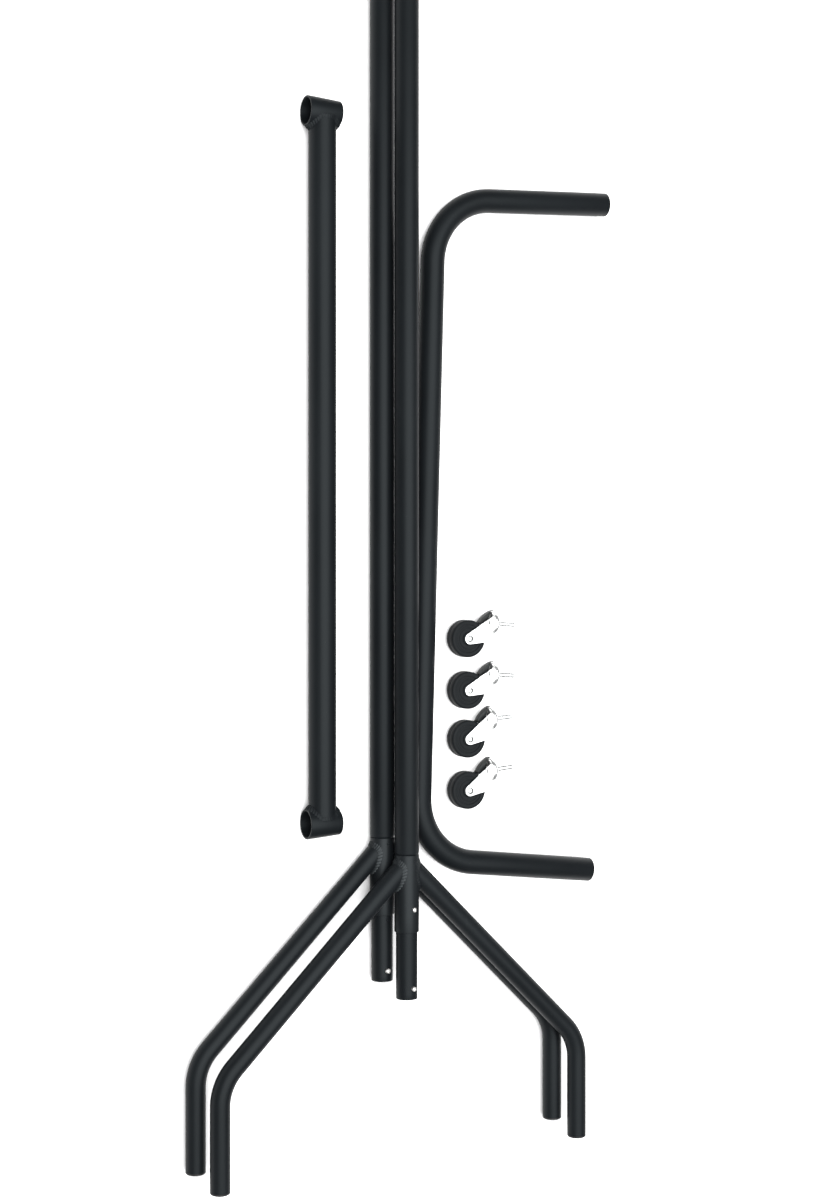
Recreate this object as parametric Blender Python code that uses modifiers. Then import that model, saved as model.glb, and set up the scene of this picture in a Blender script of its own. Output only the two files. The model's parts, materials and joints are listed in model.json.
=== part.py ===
"""Knock-down rolling support stand, lying flat on the floor as a kit.

Frame: metres, +Z up off the floor, +Y along the uprights towards their tops, +X towards the castors.
Two leg frames with their uprights lie one on the other. The crossbar, the U-shaped top rail and four
threaded-stem castors lie beside them.
"""

from math import cos, pi, radians, sin, tan

import bmesh
import bpy
from mathutils import Euler, Vector

GAP = 0.0003  # clearance kept between touching or welded pieces
TUBE_WALL = 0.0015
TUBE_SIDES = 20
BORE_SIDES = 14
OVERRUN = 0.002  # how far a cutter runs past the face it opens

# Uprights
UPRIGHT_DIAMETER = 0.032
UPRIGHT_LENGTH = 1.215  # between the two shoulders
SHOULDER = 0.002  # step down to the reduced ends
REDUCED_DIAMETER = UPRIGHT_DIAMETER - 2 * SHOULDER
LOWER_REDUCED_LENGTH = 0.187
UPPER_REDUCED_LENGTH = 0.060
UPRIGHT_CHAMFER = 0.0012

# Leg frames
SLEEVE_LENGTH = 0.100
SLEEVE_CLEARANCE = 0.0005
LEG_DIAMETER = 0.0254
LEG_SPREAD = 0.258  # upright axis to foot axis
LEG_JOIN_DROP = 0.010  # sleeve top to where the leg axis meets the sleeve axis
LEG_ANGLE = radians(45)  # below the horizontal when the stand is upright
FOOT_LENGTH = 0.131  # corner of the leg's axis to the foot's end
LEG_BEND_RADIUS = 0.065
LEG_BEND_STEPS = 5
INSERT_FLANGE = 0.003
INSERT_DEPTH = 0.022
DIMPLE_RADIUS = 0.0018
DIMPLE_FROM_TOP = 0.007

# Snap buttons
BUTTON_DIAMETER = 0.0062
BUTTON_HOLE_DIAMETER = 0.0070
BUTTON_HEAD_DIAMETER = 0.010
BUTTON_HEAD_THICKNESS = 0.0015
SLEEVE_BUTTON_DROP = 0.070  # below the sleeve's top
END_BUTTON_INSET = 0.0145  # from the lower end of the upright
SLEEVE_BUTTON_STAND = 0.0050  # above the reduced tube
END_BUTTON_STAND = 0.0045

# Crossbar
CROSSBAR_SPAN = 0.914  # between the two collar axes
CROSSBAR_DIAMETER = 0.036
COLLAR_LENGTH = 0.046
COLLAR_CLEARANCE = 0.0006
COLLAR_WALL = 0.00165  # at the narrow end
COLLAR_LIP = 0.0025  # wall at the wide end
COLLAR_EDGE = 0.001
COLLAR_FLARE = 0.0065  # growth in diameter from the narrow end to the wide one
COLLAR_NARROW_DIAMETER = REDUCED_DIAMETER + 2 * (COLLAR_CLEARANCE + COLLAR_WALL)
COLLAR_WIDE_DIAMETER = COLLAR_NARROW_DIAMETER + COLLAR_FLARE
CROSSBAR_END_INSET = 0.008  # from the collar's axis to the end of the bar before coping

# Top rail
RAIL_CLEARANCE = 0.0005  # round the upright's reduced top
RAIL_DIAMETER = REDUCED_DIAMETER + 2 * (RAIL_CLEARANCE + TUBE_WALL)
RAIL_TUCK = 0.0405  # the corners sit closer than the collars, as the arms splay
RAIL_SPAN = CROSSBAR_SPAN - RAIL_TUCK  # between the corners of the axis
RAIL_ARM = 0.266  # corner of the axis to the arm's end
RAIL_SPLAY = {"lower": radians(5.7), "upper": radians(4.6)}  # each arm leans outwards
RAIL_BEND_RADIUS = 0.090
RAIL_BEND_STEPS = 7

# Castors
CASTOR_COUNT = 4
WHEEL_DIAMETER = 0.050
WHEEL_WIDTH = 0.019
HUB_DIAMETER = 0.017
HUB_RECESS = 0.0014
FORK_SHEET = 0.002
FORK_PLATE = 0.0025
FORK_CLEARANCE = 0.0008
FORK_TIP_RADIUS = 0.007
FORK_TIP_ARC = (radians(125), radians(279))  # part of the cheek's outline that is round the axle
FORK_RISE = 0.0100  # cheek's upper edge at the plate, over the stem's axis
FORK_DROP = 0.0165  # cheek's lower edge at the plate, under the stem's axis
FORK_CHIN = (0.0040, 0.0245)  # lowest corner of a cheek: ahead of the plate, and under the stem's axis
BRIDGE_INSET = 0.0005  # the bridge stops short of the cheeks' upper edge
BRIDGE_CHIN = 0.0195
RACEWAY_DIAMETER = 0.032
RACEWAY_THICKNESS = 0.0056
RACEWAY_CROWN = 0.0045  # height of the domed head over its rim
RACEWAY_CROWN_DIAMETER = 0.013
STEM_DIAMETER = 0.0078
STEM_LENGTH = 0.0305  # from the head's rim
STEM_COLLAR_DIAMETER = 0.011
STEM_COLLAR_THICKNESS = 0.0012
KINGPIN_DIAMETER = 0.0072
PEEN_DIAMETER = 0.012
PEEN_HEIGHT = 0.0014
AXLE_DIAMETER = 0.0058
AXLE_HEAD_DIAMETER = 0.0088
AXLE_HEAD_HEIGHT = 0.0022
NUT_DIAMETER = 0.011  # across the corners
NUT_HEIGHT = 0.0034
AXLE_END = 0.0005  # the bolt's end past the nut
PIN_CLEARANCE = 0.0003
PEDAL_PIN_DIAMETER = 0.0038
PEDAL_PIN_HEAD_DIAMETER = 0.006
PEDAL_PIN_HEAD_HEIGHT = 0.0009
PEDAL_PIN_PLACE = (-0.0158, 0.0010)
PEDAL_WIDTH = 0.009
PEDAL_HEEL_RADIUS = 0.0045
PEDAL_HEEL_ARC = (radians(230), radians(360))
PEDAL_TOE = ((0.0047, 0.0065), (0.0058, 0.0112), (0.0067, 0.0154), (0.0110, 0.0158))  # from the pin
PEDAL_BACK_CENTRE = (0.0266, -0.0219)
PEDAL_BACK_RADIUS = 0.0421
PEDAL_BACK_ARC = (radians(112), radians(149))
PEDAL_TIP = (-0.0092, -0.00284)  # from the pedal's pin
PEDAL_UNDERSIDE = (-0.0065, -0.0035)
BRAKE_GAP = 0.0014  # pedal's tip to the tread
TIP_BEARING = radians(50)  # from the axle to the pedal's tip

# How the kit lies. Places are measured from the top of the lower sleeve, on the lower upright's axis.
FRAME_B_OFFSET = (0.0215, -0.020)
BUTTON_TILT = {"a": radians(4), "b": radians(12)}
CROSSBAR_PLACE = (-0.087, 0.481)
RAIL_LOWER_CORNER = (0.0525, -0.0326)
RAIL_TILT = radians(1.594)
CASTOR_PLACES = ((0.1675, 0.2760), (0.1675, 0.2072), (0.1648, 0.1480), (0.1648, 0.0795))
CASTOR_TURNS = (radians(-4), radians(-4), radians(4), radians(4))

UPRIGHT_AXIS_HEIGHT = UPRIGHT_DIAMETER / 2
FRAME_B_HEIGHT = UPRIGHT_AXIS_HEIGHT + (UPRIGHT_DIAMETER + LEG_DIAMETER) / 2 + GAP
FORK_SEAT = WHEEL_WIDTH / 2 + FORK_CLEARANCE + FORK_SHEET + GAP  # under a bolt's or a pin's head
CASTOR_AXIS_HEIGHT = FORK_SEAT + NUT_HEIGHT + AXLE_END
FORK_BACK = -RACEWAY_THICKNESS - GAP  # the plate's face against the raceway
FORK_FRONT = FORK_BACK - FORK_PLATE

POWDER_BLACK = ((0.020, 0.022, 0.023), 0.42, 0.0)
ZINC = ((0.80, 0.80, 0.78), 0.30, 1.0)
NICKEL = ((0.75, 0.74, 0.70), 0.22, 1.0)
BLACK_PLASTIC = ((0.018, 0.019, 0.020), 0.55, 0.0)
WHEEL_BLACK = ((0.022, 0.024, 0.024), 0.62, 0.0)


# Scene, materials and placing


def clear_scene():
    for item in list(bpy.data.objects):
        bpy.data.objects.remove(item, do_unlink=True)


def new_collection(name, in_render=True):
    collection = bpy.data.collections.new(name)
    collection.hide_render = not in_render
    bpy.context.scene.collection.children.link(collection)
    return collection


def new_material(name, finish):
    colour, roughness, metallic = finish
    material = bpy.data.materials.new(name)
    material.use_nodes = True
    shader = material.node_tree.nodes["Principled BSDF"]
    shader.inputs["Base Color"].default_value = (*colour, 1)
    shader.inputs["Roughness"].default_value = roughness
    shader.inputs["Metallic"].default_value = metallic
    return material


def put(item, place, turn=(0, 0, 0), parent=None):
    item.location = place
    item.rotation_euler = Euler(turn)
    item.parent = parent or kit
    return item


def new_part(name, mesh, finish):
    part = bpy.data.objects.new(name, mesh)
    part.data.materials.append(new_material(name, finish))
    parts.objects.link(part)
    return part


def new_cutter(name, mesh):
    cutter = bpy.data.objects.new(name, mesh)
    cutter.hide_render = True
    cutter.display_type = "WIRE"
    cutters.objects.link(cutter)
    return cutter


def boolean(part, other, operation="DIFFERENCE"):
    modifier = part.modifiers.new(other.name, "BOOLEAN")
    modifier.operation = operation
    modifier.solver = "EXACT"
    modifier.object = other


# Shapes


def turned_mesh(name, profile, closed):
    """A profile of (radius, height) points, down its outer side from the top."""
    mesh = bpy.data.meshes.new(name)
    edges = [(i, i + 1) for i in range(len(profile) - 1)]
    if closed:
        edges.append((len(profile) - 1, 0))
    mesh.from_pydata([(radius, 0, height) for radius, height in profile], edges, [])
    return mesh


def turn_on_lathe(part, sides):
    screw = part.modifiers.new("Lathe", "SCREW")
    screw.axis = "Z"
    screw.angle = 2 * pi
    screw.steps = sides
    screw.render_steps = sides
    screw.use_merge_vertices = True
    screw.merge_threshold = 0.00001
    screw.use_smooth_shade = True


def turned_part(name, profile, finish, sides=TUBE_SIDES, closed=False):
    part = new_part(name, turned_mesh(name, profile, closed), finish)
    turn_on_lathe(part, sides)
    return part


def cylinder_cutter(name, radius, low, high, sides=16):
    """A drill along Z, from low to high."""
    mesh = bpy.data.meshes.new(name)
    shape = bmesh.new()
    bmesh.ops.create_cone(
        shape, cap_ends=True, segments=sides, radius1=radius, radius2=radius, depth=high - low
    )
    bmesh.ops.translate(shape, verts=shape.verts, vec=(0, 0, (low + high) / 2))
    shape.to_mesh(mesh)
    shape.free()
    return new_cutter(name, mesh)


def curve_mesh(name, curve):
    """The curve's solid as a mesh, with its caps welded."""
    guide = bpy.data.objects.new(name + "_guide", curve)
    bpy.context.scene.collection.objects.link(guide)
    graph = bpy.context.evaluated_depsgraph_get()
    mesh = bpy.data.meshes.new_from_object(guide.evaluated_get(graph))
    mesh.name = name
    bpy.data.objects.remove(guide, do_unlink=True)
    shape = bmesh.new()
    shape.from_mesh(mesh)
    bmesh.ops.remove_doubles(shape, verts=shape.verts, dist=0.00001)
    bmesh.ops.recalc_face_normals(shape, faces=shape.faces)
    shape.to_mesh(mesh)
    shape.free()
    mesh.shade_smooth()
    mesh.set_sharp_from_angle(angle=radians(35))
    return mesh


def bent_rod_mesh(name, points, radius, sides=TUBE_SIDES):
    curve = bpy.data.curves.new(name, "CURVE")
    curve.dimensions = "3D"
    curve.bevel_depth = radius
    curve.bevel_resolution = sides // 2 - 2
    curve.use_fill_caps = True
    spline = curve.splines.new("POLY")
    spline.points.add(len(points) - 1)
    for point, place in zip(spline.points, points):
        point.co = (*place, 1)
    return curve_mesh(name, curve)


def sheet_mesh(name, outline, thickness):
    """A flat outline in X and Y, extruded evenly to both sides of Z = 0."""
    curve = bpy.data.curves.new(name, "CURVE")
    curve.dimensions = "2D"
    curve.fill_mode = "BOTH"
    curve.extrude = thickness / 2
    spline = curve.splines.new("POLY")
    spline.points.add(len(outline) - 1)
    for point, place in zip(spline.points, outline):
        point.co = (*place, 0, 1)
    spline.use_cyclic_u = True
    return curve_mesh(name, curve)


def arc(centre, radius, start, end, steps):
    angles = [start + (end - start) * i / steps for i in range(steps + 1)]
    return [(centre[0] + radius * cos(a), centre[1] + radius * sin(a)) for a in angles]


def rounded_path(corners, radius, steps):
    """A flat polyline with its inner corners rounded."""
    path = [corners[0]]
    for before, corner, after in zip(corners, corners[1:], corners[2:]):
        arriving = (Vector(corner) - Vector(before)).normalized()
        leaving = (Vector(after) - Vector(corner)).normalized()
        turn = arriving.angle(leaving)
        side = 1 if arriving.cross(leaving) > 0 else -1
        start = Vector(corner) - arriving * radius * tan(turn / 2)
        normal = Vector((-arriving.y, arriving.x)) * side
        centre = start + normal * radius
        for i in range(steps + 1):
            angle = turn * i / steps
            path.append(centre - normal * radius * cos(angle) + arriving * radius * sin(angle))
    path.append(corners[-1])
    return [(point[0], point[1], 0) for point in path]


def bent_tube(name, path, diameter, finish):
    """A round tube of TUBE_WALL along a flat path, open at both ends."""
    part = new_part(name, bent_rod_mesh(name, path, diameter / 2), finish)
    first, second = Vector(path[0]), Vector(path[1])
    last, last_but_one = Vector(path[-1]), Vector(path[-2])
    start = first + (first - second).normalized() * OVERRUN
    end = last + (last - last_but_one).normalized() * OVERRUN
    inner = [start, *path[1:-1], end]
    bore_mesh = bent_rod_mesh(name + "_bore", inner, diameter / 2 - TUBE_WALL, BORE_SIDES)
    bore = new_cutter(name + "_bore", bore_mesh)
    boolean(part, bore)
    return part, bore


# Uprights and leg frames


def upright(side, place, height):
    outer, reduced = UPRIGHT_DIAMETER / 2, REDUCED_DIAMETER / 2
    bore = reduced - TUBE_WALL
    chamfer = UPRIGHT_CHAMFER
    top = UPRIGHT_LENGTH + UPPER_REDUCED_LENGTH
    bottom = -LOWER_REDUCED_LENGTH
    profile = [
        (reduced - chamfer, top),
        (reduced, top - chamfer),
        (reduced, UPRIGHT_LENGTH),
        (outer - chamfer / 2, UPRIGHT_LENGTH),
        (outer, UPRIGHT_LENGTH - chamfer),
        (outer, GAP + chamfer / 2),
        (outer - chamfer / 2, GAP),
        (reduced, GAP),
        (reduced, bottom + chamfer),
        (reduced - chamfer, bottom),
        (bore, bottom),
        (bore, top),
    ]
    part = turned_part("upright_" + side, profile, POWDER_BLACK, closed=True)
    put(part, (*place, height), (radians(-90), 0, 0))
    for label, along in button_places().items():
        boolean(part, button_drill(f"{label}_hole_{side}", place, height, along, BUTTON_TILT[side]))
    return part


def button_places():
    return {
        "sleeve": -SLEEVE_BUTTON_DROP,
        "end": END_BUTTON_INSET - LOWER_REDUCED_LENGTH,
        "top": UPRIGHT_LENGTH + UPPER_REDUCED_LENGTH / 2,
    }


def button_drill(name, place, height, along, tilt):
    drill = cylinder_cutter(name, BUTTON_HOLE_DIAMETER / 2, OVERRUN, UPRIGHT_DIAMETER)
    return put(drill, (place[0], place[1] + along, height), (0, tilt, 0))


def snap_button(name, place, height, along, tilt, stand):
    radius, head = BUTTON_DIAMETER / 2, BUTTON_HEAD_DIAMETER / 2
    tube_bore = REDUCED_DIAMETER / 2 - TUBE_WALL
    head_top = (tube_bore**2 - head**2) ** 0.5 - GAP
    top = REDUCED_DIAMETER / 2 + stand
    dome = radius * 0.75
    profile = [
        (0, top),
        (radius * 0.55, top - dome * 0.16),
        (radius * 0.88, top - dome * 0.52),
        (radius, top - dome),
        (radius, head_top),
        (head, head_top),
        (head, head_top - BUTTON_HEAD_THICKNESS),
        (0, head_top - BUTTON_HEAD_THICKNESS),
    ]
    part = turned_part(name, profile, NICKEL, sides=12)
    return put(part, (place[0], place[1] + along, height), (0, tilt, 0))


def leg_sleeve(side, place, height):
    outer = UPRIGHT_DIAMETER / 2
    bore = REDUCED_DIAMETER / 2 + SLEEVE_CLEARANCE
    chamfer = UPRIGHT_CHAMFER / 2
    profile = [
        (outer - chamfer, 0),
        (outer, -chamfer),
        (outer, chamfer - SLEEVE_LENGTH),
        (outer - chamfer, -SLEEVE_LENGTH),
        (bore, -SLEEVE_LENGTH),
        (bore, 0),
    ]
    part = turned_part("leg_sleeve_" + side, profile, POWDER_BLACK, closed=True)
    put(part, (*place, height), (radians(-90), 0, 0))
    tilt = BUTTON_TILT[side]
    boolean(part, button_drill("sleeve_slot_" + side, place, height, -SLEEVE_BUTTON_DROP, tilt))
    dimple = cylinder_cutter("dimple_" + side, DIMPLE_RADIUS, outer - TUBE_WALL / 2, outer * 1.5, 8)
    put(dimple, (place[0], place[1] - DIMPLE_FROM_TOP, height), (0, tilt, 0))
    boolean(part, dimple)
    return part


def foot_end():
    """The foot's end below the sleeve's top."""
    return LEG_JOIN_DROP + LEG_SPREAD * tan(LEG_ANGLE) + FOOT_LENGTH


def leg(side, hand, sign, place, height, sleeve_cutter):
    corner_drop = LEG_JOIN_DROP + LEG_SPREAD * tan(LEG_ANGLE)
    corners = [
        (0, -LEG_JOIN_DROP),
        (sign * LEG_SPREAD, -corner_drop),
        (sign * LEG_SPREAD, -foot_end()),
    ]
    path = rounded_path(corners, LEG_BEND_RADIUS, LEG_BEND_STEPS)
    part, bore = bent_tube(f"leg_{hand}_{side}", path, LEG_DIAMETER, POWDER_BLACK)
    put(part, (*place, height))
    put(bore, (*place, height))
    boolean(part, sleeve_cutter)
    return part


def foot_insert(side, hand, sign, place, height):
    flange = LEG_DIAMETER / 2
    body = flange - TUBE_WALL - GAP
    bore = STEM_DIAMETER / 2 + PIN_CLEARANCE
    profile = [
        (body, INSERT_DEPTH),
        (body, 0),
        (flange, 0),
        (flange, -INSERT_FLANGE * 0.6),
        (flange * 0.86, -INSERT_FLANGE),
        (bore, -INSERT_FLANGE),
        (bore, INSERT_DEPTH),
    ]
    part = turned_part(f"foot_insert_{hand}_{side}", profile, BLACK_PLASTIC, sides=14, closed=True)
    x = place[0] + sign * LEG_SPREAD
    return put(part, (x, place[1] - foot_end() - GAP, height), (radians(-90), 0, 0))


def leg_frame(side, place, height):
    leg_sleeve(side, place, height)
    post_radius, post_bottom = UPRIGHT_DIAMETER / 2 + GAP, -2 * SLEEVE_LENGTH
    post = cylinder_cutter("sleeve_outer_" + side, post_radius, post_bottom, SLEEVE_LENGTH, 48)
    put(post, (*place, height), (radians(-90), 0, 0))
    for hand, sign in (("left", -1), ("right", 1)):
        leg(side, hand, sign, place, height, post)
        foot_insert(side, hand, sign, place, height)
    upright(side, place, height)
    stands = {"sleeve": SLEEVE_BUTTON_STAND, "end": END_BUTTON_STAND, "top": END_BUTTON_STAND}
    for label, along in button_places().items():
        name = f"snap_button_{label}_{side}"
        snap_button(name, place, height, along, BUTTON_TILT[side], stands[label])


# Crossbar


def collar_radius(at):
    """Outer radius of the collar, from its wide end at 0 to its narrow end at COLLAR_LENGTH."""
    wide, narrow = COLLAR_WIDE_DIAMETER / 2, COLLAR_NARROW_DIAMETER / 2
    return wide + (narrow - wide) * at / COLLAR_LENGTH


def crossbar_collar(name, place, height):
    half = COLLAR_LENGTH / 2
    bore = REDUCED_DIAMETER / 2 + COLLAR_CLEARANCE
    edge = COLLAR_EDGE
    profile = [
        (collar_radius(COLLAR_LENGTH) - edge, half),
        (collar_radius(COLLAR_LENGTH - edge), half - edge),
        (collar_radius(edge), edge - half),
        (collar_radius(0) - edge, -half),
        (collar_radius(0) - COLLAR_LIP, -half),
        (bore, half),
    ]
    part = turned_part(name, profile, POWDER_BLACK, closed=True)
    return put(part, (*place, height), (0, radians(90), 0))


def collar_cutter(name, place, height):
    """The collar's outer cone, grown by the gap, that copes the bar's end."""
    half = COLLAR_LENGTH / 2 + OVERRUN
    mesh = bpy.data.meshes.new(name)
    shape = bmesh.new()
    slope = (COLLAR_WIDE_DIAMETER - COLLAR_NARROW_DIAMETER) / 2 / COLLAR_LENGTH
    bmesh.ops.create_cone(
        shape,
        cap_ends=True,
        segments=48,
        radius1=collar_radius(COLLAR_LENGTH / 2) + slope * half + GAP,
        radius2=collar_radius(COLLAR_LENGTH / 2) - slope * half + GAP,
        depth=2 * half,
    )
    shape.to_mesh(mesh)
    shape.free()
    return put(new_cutter(name, mesh), (*place, height), (0, radians(90), 0))


def crossbar():
    x, y = CROSSBAR_PLACE
    height = COLLAR_WIDE_DIAMETER / 2
    half = CROSSBAR_SPAN / 2
    reach = half - CROSSBAR_END_INSET
    path = [(0, -reach, 0), (0, reach, 0)]
    tube, bore = bent_tube("crossbar_tube", path, CROSSBAR_DIAMETER, POWDER_BLACK)
    put(tube, (x, y, height))
    put(bore, (x, y, height))
    for hand, sign in (("lower", -1), ("upper", 1)):
        place = (x, y + sign * half)
        crossbar_collar("crossbar_collar_" + hand, place, height)
        boolean(tube, collar_cutter("collar_cope_" + hand, place, height))


# Top rail


def rail_corners():
    """The axis of the rail from one arm's end to the other's, from the lower corner."""
    along = Vector((sin(RAIL_TILT), cos(RAIL_TILT)))
    lower = Vector((0, 0))
    upper = lower + along * RAIL_SPAN
    lower_lean = -RAIL_TILT - RAIL_SPLAY["lower"]
    upper_lean = -RAIL_TILT + RAIL_SPLAY["upper"]
    lower_arm = Vector((cos(lower_lean), sin(lower_lean)))
    upper_arm = Vector((cos(upper_lean), sin(upper_lean)))
    return [lower + lower_arm * RAIL_ARM, lower, upper, upper + upper_arm * RAIL_ARM]


def top_rail():
    path = rounded_path(rail_corners(), RAIL_BEND_RADIUS, RAIL_BEND_STEPS)
    place = (*RAIL_LOWER_CORNER, RAIL_DIAMETER / 2)
    rail, bore = bent_tube("top_rail", path, RAIL_DIAMETER, POWDER_BLACK)
    put(rail, place)
    put(bore, place)
    inset = UPPER_REDUCED_LENGTH / 2
    drill_radius, drill_top = BUTTON_HOLE_DIAMETER / 2, TUBE_WALL - RAIL_DIAMETER / 4
    for hand, end, corner in (("lower", path[0], path[1]), ("upper", path[-1], path[-2])):
        inward = (Vector(corner) - Vector(end)).normalized()
        spot = Vector(end) + inward * inset
        drill = cylinder_cutter("rail_hole_" + hand, drill_radius, -RAIL_DIAMETER, drill_top)
        put(drill, (place[0] + spot.x, place[1] + spot.y, place[2]))
        boolean(rail, drill)


# Castors. In a castor's own frame X is the stem's axis, pointing out of the head, and Z is the axle's.


def axle_place():
    """The wheel's centre, set back from the pedal's tip by the wheel's radius and the brake's gap."""
    reach = WHEEL_DIAMETER / 2 + BRAKE_GAP
    tip_x = PEDAL_PIN_PLACE[0] + PEDAL_TIP[0]
    tip_y = PEDAL_PIN_PLACE[1] + PEDAL_TIP[1]
    return (tip_x - reach * cos(TIP_BEARING), tip_y - reach * sin(TIP_BEARING))


def cheek_outline():
    """Side view of one cheek: square at the plate, round at the axle."""
    chin = (FORK_FRONT - FORK_CHIN[0], -FORK_CHIN[1])
    tip = arc(axle_place(), FORK_TIP_RADIUS, *FORK_TIP_ARC, 6)
    return [chin, (FORK_BACK, -FORK_DROP), (FORK_BACK, FORK_RISE), (FORK_FRONT, FORK_RISE), *tip]


def castor_fork(name, parent):
    half_inner = WHEEL_WIDTH / 2 + FORK_CLEARANCE
    half_outer = half_inner + FORK_SHEET
    disc = RACEWAY_DIAMETER / 2 - GAP
    plate_profile = [(0, FORK_BACK), (disc, FORK_BACK), (disc, FORK_FRONT), (0, FORK_FRONT)]
    plate = turned_part(name, plate_profile, ZINC, sides=16)
    put(plate, (0, 0, 0), (0, radians(90), 0), parent)
    bridge_top = FORK_RISE - BRIDGE_INSET
    bridge_outline = [
        (FORK_FRONT, -BRIDGE_CHIN),
        (FORK_BACK, -FORK_DROP),
        (FORK_BACK, bridge_top),
        (FORK_FRONT, bridge_top),
    ]
    bridge = new_cutter(name + "_bridge", sheet_mesh(name + "_bridge", bridge_outline, 2 * half_outer))
    put(bridge, (0, 0, 0), parent=parent)
    boolean(plate, bridge, "UNION")
    for hand, sign in (("top", 1), ("bottom", -1)):
        label = f"{name}_cheek_{hand}"
        cheek = new_cutter(label, sheet_mesh(label, cheek_outline(), FORK_SHEET))
        put(cheek, (0, 0, sign * (half_inner + FORK_SHEET / 2)), parent=parent)
        boolean(plate, cheek, "UNION")
    reach = 2 * half_outer
    king_radius = KINGPIN_DIAMETER / 2 + PIN_CLEARANCE
    king = cylinder_cutter(name + "_king_hole", king_radius, 2 * FORK_FRONT, 0, 12)
    put(king, (0, 0, 0), (0, radians(90), 0), parent)
    axle = cylinder_cutter(name + "_axle_hole", AXLE_DIAMETER / 2 + PIN_CLEARANCE, -reach, reach)
    put(axle, (*axle_place(), 0), parent=parent)
    pin = cylinder_cutter(name + "_pin_hole", PEDAL_PIN_DIAMETER / 2 + PIN_CLEARANCE, -reach, reach, 12)
    put(pin, (*PEDAL_PIN_PLACE, 0), parent=parent)
    for cutter in (king, axle, pin):
        boolean(plate, cutter)
    return plate


def castor_stem(name, parent):
    """Threaded stem, its collar on the head, and the kingpin peened over inside the fork."""
    radius, king, collar = STEM_DIAMETER / 2, KINGPIN_DIAMETER / 2, STEM_COLLAR_DIAMETER / 2
    collar_seat = RACEWAY_CROWN + GAP
    collar_top = collar_seat + STEM_COLLAR_THICKNESS
    chamfer = STEM_DIAMETER / 8
    peen_seat = FORK_FRONT - GAP
    peen, peen_end = PEEN_DIAMETER / 2, peen_seat - PEEN_HEIGHT
    profile = [
        (0, STEM_LENGTH),
        (radius - chamfer, STEM_LENGTH),
        (radius, STEM_LENGTH - chamfer),
        (radius, collar_top),
        (collar, collar_top),
        (collar, collar_seat),
        (king, collar_seat),
        (king, peen_seat),
        (peen, peen_seat),
        (peen * 0.8, peen_end),
        (0, peen_end),
    ]
    return put(turned_part(name, profile, ZINC, sides=12), (0, 0, 0), (0, radians(90), 0), parent)


def castor_raceway(name, parent):
    """Domed head that holds the balls, with its skirt down to the fork's plate."""
    radius, crown = RACEWAY_DIAMETER / 2, RACEWAY_CROWN_DIAMETER / 2
    shoulder = crown + (radius - crown) * 0.6
    bore = KINGPIN_DIAMETER / 2 + PIN_CLEARANCE
    profile = [
        (crown, RACEWAY_CROWN),
        (shoulder, RACEWAY_CROWN * 0.55),
        (radius, -RACEWAY_THICKNESS / 4),
        (radius, -RACEWAY_THICKNESS),
        (bore, -RACEWAY_THICKNESS),
        (bore, RACEWAY_CROWN),
    ]
    part = turned_part(name, profile, ZINC, sides=18, closed=True)
    return put(part, (0, 0, 0), (0, radians(90), 0), parent)


def castor_wheel(name, parent):
    radius, half = WHEEL_DIAMETER / 2, WHEEL_WIDTH / 2
    hub = HUB_DIAMETER / 2
    boss, web = half + FORK_CLEARANCE / 2, half - HUB_RECESS
    bore = AXLE_DIAMETER / 2 + PIN_CLEARANCE
    rim, round_over = radius * 0.78, radius * 0.09
    upper = [(bore, boss), (hub, boss), (hub + HUB_RECESS / 2, web), (rim - HUB_RECESS, web)]
    upper += [(rim, half), (radius - round_over, half), (radius, half - round_over)]
    lower = [(r, -z) for r, z in reversed(upper)]
    part = turned_part(name, upper + lower, WHEEL_BLACK, sides=24, closed=True)
    return put(part, (*axle_place(), 0), parent=parent)


def castor_axle(name, parent):
    radius, head, height = AXLE_DIAMETER / 2, AXLE_HEAD_DIAMETER / 2, AXLE_HEAD_HEIGHT
    profile = [
        (0, FORK_SEAT + height),
        (head * 0.6, FORK_SEAT + height * 0.86),
        (head, FORK_SEAT + height * 0.36),
        (head, FORK_SEAT),
        (radius, FORK_SEAT),
        (radius, -CASTOR_AXIS_HEIGHT),
        (0, -CASTOR_AXIS_HEIGHT),
    ]
    return put(turned_part(name, profile, ZINC, sides=12), (*axle_place(), 0), parent=parent)


def castor_nut(name, parent):
    outer, bottom = NUT_DIAMETER / 2, -FORK_SEAT - NUT_HEIGHT
    profile = [(0, -FORK_SEAT), (outer, -FORK_SEAT), (outer, bottom), (0, bottom)]
    nut = turned_part(name, profile, ZINC, sides=6)
    put(nut, (*axle_place(), 0), parent=parent)
    bore = cylinder_cutter(name + "_bore", AXLE_DIAMETER / 2 + PIN_CLEARANCE, 2 * bottom, 0)
    put(bore, (*axle_place(), 0), parent=parent)
    boolean(nut, bore)
    return nut


def pedal_outline():
    """Side view, from the pin: round heel, toe over the head, arched back, tip at the tread."""
    heel = arc((0, 0), PEDAL_HEEL_RADIUS, *PEDAL_HEEL_ARC, 5)
    back = arc(PEDAL_BACK_CENTRE, PEDAL_BACK_RADIUS, *PEDAL_BACK_ARC, 6)
    return [*heel, *PEDAL_TOE, *back, PEDAL_TIP, PEDAL_UNDERSIDE]


def castor_pedal(name, parent):
    width = PEDAL_WIDTH
    pedal = new_part(name, sheet_mesh(name, pedal_outline(), width), BLACK_PLASTIC)
    put(pedal, (*PEDAL_PIN_PLACE, 0), parent=parent)
    hole = cylinder_cutter(name + "_hole", PEDAL_PIN_DIAMETER / 2 + PIN_CLEARANCE, -width, width, 12)
    put(hole, (*PEDAL_PIN_PLACE, 0), parent=parent)
    boolean(pedal, hole)
    return pedal


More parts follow.
